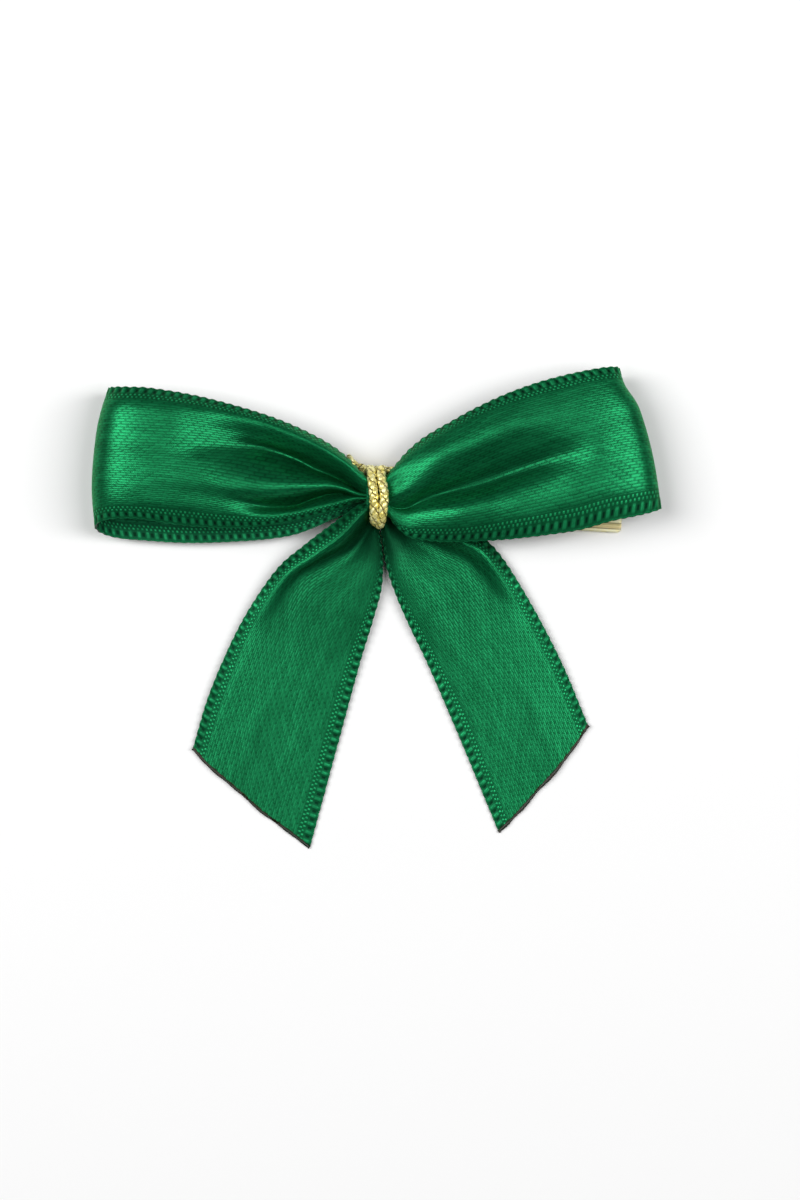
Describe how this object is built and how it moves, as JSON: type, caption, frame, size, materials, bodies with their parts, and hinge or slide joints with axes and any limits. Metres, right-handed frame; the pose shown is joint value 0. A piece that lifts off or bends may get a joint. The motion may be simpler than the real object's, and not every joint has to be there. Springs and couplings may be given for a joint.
{
  "type": "ribbon gift bow",
  "caption": "Ready-made satin ribbon bow with loops and slanted tails, bound by metallic cord over a foil twist tie for wrapping round a neck or string.",
  "frame": {"origin": "on the resting plane, straight behind the middle of the knot", "axes": "+X towards the right loop along the bow's width, +Y from the tails to the loops, +Z out of the bow's face"},
  "size_m": [0.063, 0.0522, 0.0083],
  "materials": {
    "ribbon": "single-face satin, glossy front, matte back",
    "gold_cord": "metallised thread, twisted",
    "tie_foil": "metallised film laminate, pale gold",
    "tie_wire": "soft annealed wire"
  },
  "bodies": {
    "knot": {"knot_gather": "ribbon", "cord_turn_left": "gold_cord", "cord_turn_right": "gold_cord", "cord_knot": "gold_cord", "cord_end_long": "gold_cord", "cord_end_short": "gold_cord", "tie_middle_foil_front": "tie_foil", "tie_middle_foil_back": "tie_foil", "tie_middle_wire": "tie_wire"},
    "loop_left": {"left_loop_gather": "ribbon", "left_loop_front": "ribbon", "left_loop_fold": "ribbon", "left_loop_back": "ribbon"},
    "tail_left": {"left_tail_gather": "ribbon", "left_tail": "ribbon"},
    "loop_right": {"right_loop_gather": "ribbon", "right_loop_front": "ribbon", "right_loop_fold": "ribbon", "right_loop_back": "ribbon"},
    "tail_right": {"right_tail_gather": "ribbon", "right_tail": "ribbon"},
    "tie_left_1": {"tie_left_1_foil_front": "tie_foil", "tie_left_1_foil_back": "tie_foil", "tie_left_1_wire": "tie_wire"},
    "tie_left_2": {"tie_left_2_foil_front": "tie_foil", "tie_left_2_foil_back": "tie_foil", "tie_left_2_wire": "tie_wire"},
    "tie_left_3": {"tie_left_3_foil_front": "tie_foil", "tie_left_3_foil_back": "tie_foil", "tie_left_3_wire": "tie_wire"},
    "tie_left_4": {"tie_left_4_foil_front": "tie_foil", "tie_left_4_foil_back": "tie_foil", "tie_left_4_wire": "tie_wire"},
    "tie_left_5": {"tie_left_5_foil_front": "tie_foil", "tie_left_5_foil_back": "tie_foil", "tie_left_5_wire": "tie_wire"},
    "tie_right_1": {"tie_right_1_foil_front": "tie_foil", "tie_right_1_foil_back": "tie_foil", "tie_right_1_wire": "tie_wire"},
    "tie_right_2": {"tie_right_2_foil_front": "tie_foil", "tie_right_2_foil_back": "tie_foil", "tie_right_2_wire": "tie_wire"},
    "tie_right_3": {"tie_right_3_foil_front": "tie_foil", "tie_right_3_foil_back": "tie_foil", "tie_right_3_wire": "tie_wire"},
    "tie_right_4": {"tie_right_4_foil_front": "tie_foil", "tie_right_4_foil_back": "tie_foil", "tie_right_4_wire": "tie_wire"},
    "tie_right_5": {"tie_right_5_foil_front": "tie_foil", "tie_right_5_foil_back": "tie_foil", "tie_right_5_wire": "tie_wire"}
  },
  "joints": [
    {"name": "loop_left_lift", "type": "hinge", "parent": "knot", "child": "loop_left", "pos_m": [-0.003, 0, 0.00337], "axis": [0, 1, 0], "range_deg": [0, 40], "stiffness_Nm_per_rad": 0.002},
    {"name": "loop_right_lift", "type": "hinge", "parent": "knot", "child": "loop_right", "pos_m": [0.003, 0, 0.00337], "axis": [0, -1, 0], "range_deg": [0, 40], "stiffness_Nm_per_rad": 0.002},
    {"name": "tail_left_flex", "type": "hinge", "parent": "knot", "child": "tail_left", "pos_m": [-0.0026, -0.0043, 0.00165], "axis": [-0.9285, 0.3714, 0], "range_deg": [-45, 8], "stiffness_Nm_per_rad": 0.002},
    {"name": "tail_right_flex", "type": "hinge", "parent": "knot", "child": "tail_right", "pos_m": [0.0026, -0.0043, 0.00165], "axis": [-0.866, -0.5, 0], "range_deg": [-45, 8], "stiffness_Nm_per_rad": 0.002},
    {"name": "tie_left_wrap", "type": "hinge", "parent": "knot", "child": "tie_left_1", "pos_m": [-0.00258, 0.00029, 0.00142], "axis": [-0.1097, -0.994, 0], "range_deg": [0, 30]},
    {"name": "tie_left_bend_2", "type": "hinge", "parent": "tie_left_1", "child": "tie_left_2", "pos_m": [-0.00735, 0.00081, 0.00122], "axis": [-0.1097, -0.994, 0], "range_deg": [0, 30]},
    {"name": "tie_left_bend_3", "type": "hinge", "parent": "tie_left_2", "child": "tie_left_3", "pos_m": [-0.01212, 0.00134, 0.00102], "axis": [-0.1097, -0.994, 0], "range_deg": [0, 30]},
    {"name": "tie_left_bend_4", "type": "hinge", "parent": "tie_left_3", "child": "tie_left_4", "pos_m": [-0.01688, 0.00186, 0.00081], "axis": [-0.1097, -0.994, 0], "range_deg": [0, 30]},
    {"name": "tie_left_bend_5", "type": "hinge", "parent": "tie_left_4", "child": "tie_left_5", "pos_m": [-0.02165, 0.00239, 0.00061], "axis": [-0.1097, -0.994, 0], "range_deg": [0, 30]},
    {"name": "tie_right_wrap", "type": "hinge", "parent": "knot", "child": "tie_right_1", "pos_m": [0.00258, -0.00029, 0.00142], "axis": [0.1097, 0.994, 0], "range_deg": [0, 30]},
    {"name": "tie_right_bend_2", "type": "hinge", "parent": "tie_right_1", "child": "tie_right_2", "pos_m": [0.00735, -0.00081, 0.00122], "axis": [0.1097, 0.994, 0], "range_deg": [0, 30]},
    {"name": "tie_right_bend_3", "type": "hinge", "parent": "tie_right_2", "child": "tie_right_3", "pos_m": [0.01212, -0.00134, 0.00102], "axis": [0.1097, 0.994, 0], "range_deg": [0, 30]},
    {"name": "tie_right_bend_4", "type": "hinge", "parent": "tie_right_3", "child": "tie_right_4", "pos_m": [0.01688, -0.00186, 0.00081], "axis": [0.1097, 0.994, 0], "range_deg": [0, 30]},
    {"name": "tie_right_bend_5", "type": "hinge", "parent": "tie_right_4", "child": "tie_right_5", "pos_m": [0.02165, -0.00239, 0.00061], "axis": [0.1097, 0.994, 0], "range_deg": [0, 30]}
  ],
  "couplings": [
    {"joint": "tie_left_bend_2", "follows": "tie_left_wrap", "ratio": 1},
    {"joint": "tie_left_bend_3", "follows": "tie_left_wrap", "ratio": 1},
    {"joint": "tie_left_bend_4", "follows": "tie_left_wrap", "ratio": 1},
    {"joint": "tie_left_bend_5", "follows": "tie_left_wrap", "ratio": 1},
    {"joint": "tie_right_bend_2", "follows": "tie_right_wrap", "ratio": 1},
    {"joint": "tie_right_bend_3", "follows": "tie_right_wrap", "ratio": 1},
    {"joint": "tie_right_bend_4", "follows": "tie_right_wrap", "ratio": 1},
    {"joint": "tie_right_bend_5", "follows": "tie_right_wrap", "ratio": 1}
  ]
}
